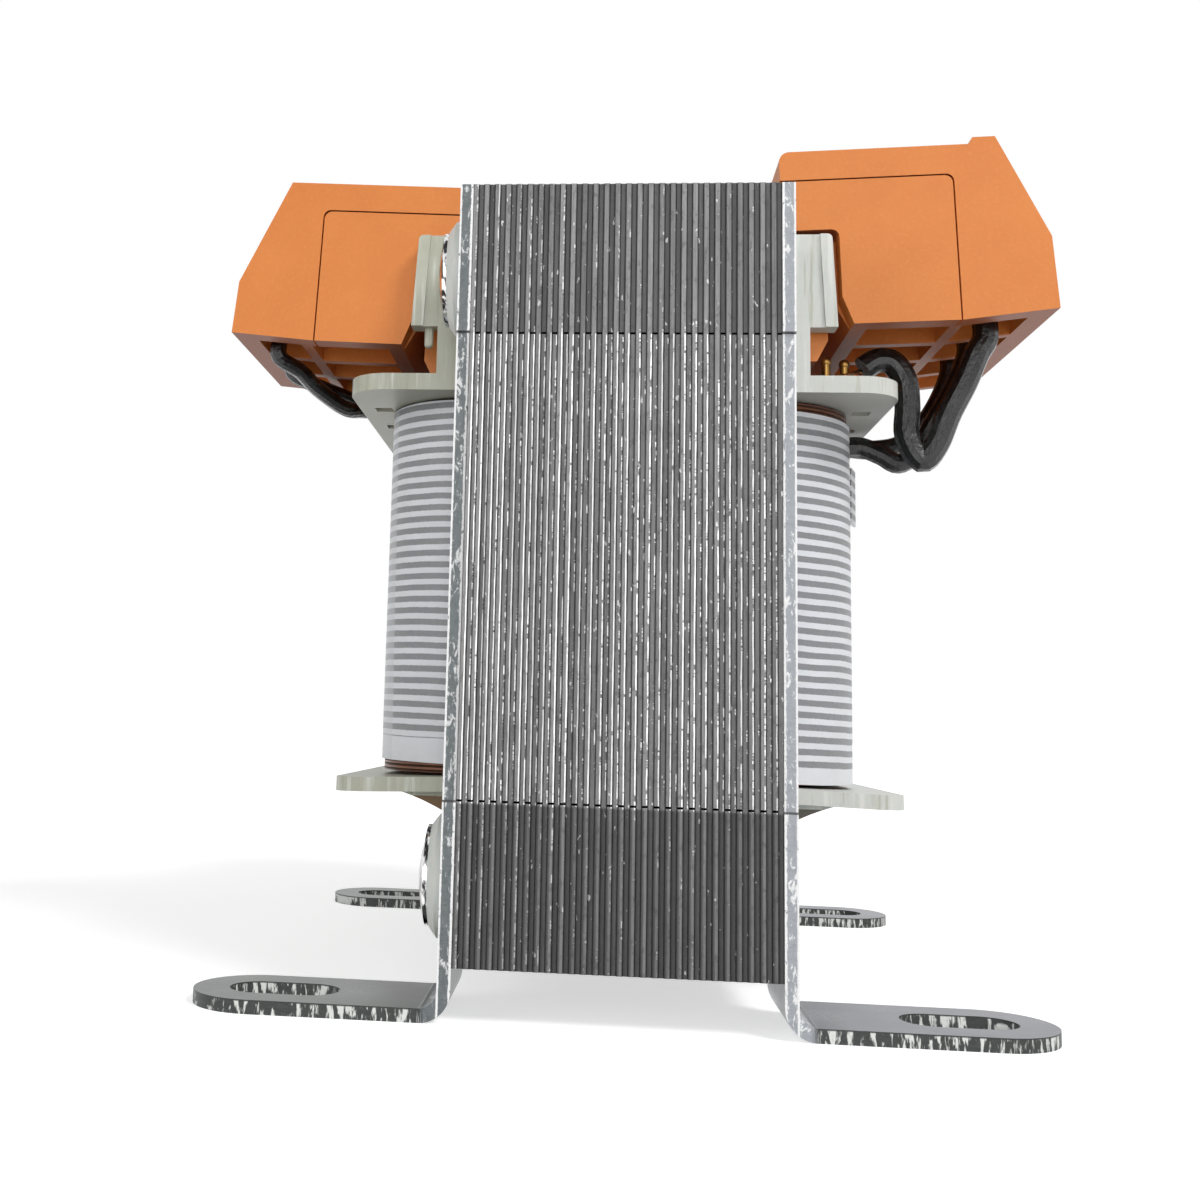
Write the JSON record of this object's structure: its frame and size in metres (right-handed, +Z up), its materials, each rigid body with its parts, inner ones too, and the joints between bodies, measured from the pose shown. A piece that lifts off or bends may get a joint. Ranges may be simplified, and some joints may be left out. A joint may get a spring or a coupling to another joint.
{
  "type": "laminated chassis transformer",
  "caption": "Chassis-mounting mains transformer: interleaved EI core held between two plated brackets with slotted feet, taped winding on a bobbin, and an orange terminal block at each side.",
  "frame": {"origin": "centre of the four mounting slots, on the underside of the feet", "axes": "X across the lamination stack with the larger terminal block on +X, Y along the core, Z up"},
  "size_m": [0.0832, 0.084, 0.085],
  "materials": {
    "lamination_steel": "dark oxide-coated sheet edges",
    "zinc_plate": "bright zinc plating with rough sheared edges",
    "bobbin_nylon": "pale grey-green glass-filled nylon",
    "enamelled_copper": "enamelled copper wire",
    "amber_film": "thin insulating film",
    "striped_tape": "white tape with grey stripes",
    "bolt_plating": "bright plated steel",
    "white_nylon": "white moulded nylon",
    "orange_plastic": "orange moulded plastic with a fine texture",
    "screw_steel": "zinc-plated steel",
    "terminal_brass": "brass with solder",
    "black_sleeve": "glossy black sleeving",
    "bare_copper": "bare copper wire"
  },
  "bodies": {
    "root": {"core_e_top": "lamination_steel", "core_e_bottom": "lamination_steel", "core_i_top": "lamination_steel", "core_i_bottom": "lamination_steel", "left_bracket": "zinc_plate", "right_bracket": "zinc_plate", "bobbin": "bobbin_nylon", "primary_winding": "enamelled_copper", "winding_barrier": "amber_film", "secondary_winding": "enamelled_copper", "outer_wrap": "striped_tape", "core_bolts": "bolt_plating", "bolt_tubes": "white_nylon", "bolt_washers": "white_nylon", "left_terminal_block": "orange_plastic", "right_terminal_block": "orange_plastic", "left_end_cover": "orange_plastic", "right_end_cover": "orange_plastic", "left_terminal_screws": "screw_steel", "right_terminal_screws": "screw_steel", "left_clamp_plates": "screw_steel", "right_clamp_plates": "screw_steel", "left_contact_bars": "terminal_brass", "right_contact_bars": "terminal_brass", "left_lead_front": "black_sleeve", "left_lead_rear": "black_sleeve", "right_lead_loop": "black_sleeve", "right_lead_middle": "black_sleeve", "right_lead_rear": "black_sleeve", "lead_wire_ends": "bare_copper", "pin_wires": "bare_copper", "winding_pins": "terminal_brass"}
  },
  "joints": []
}
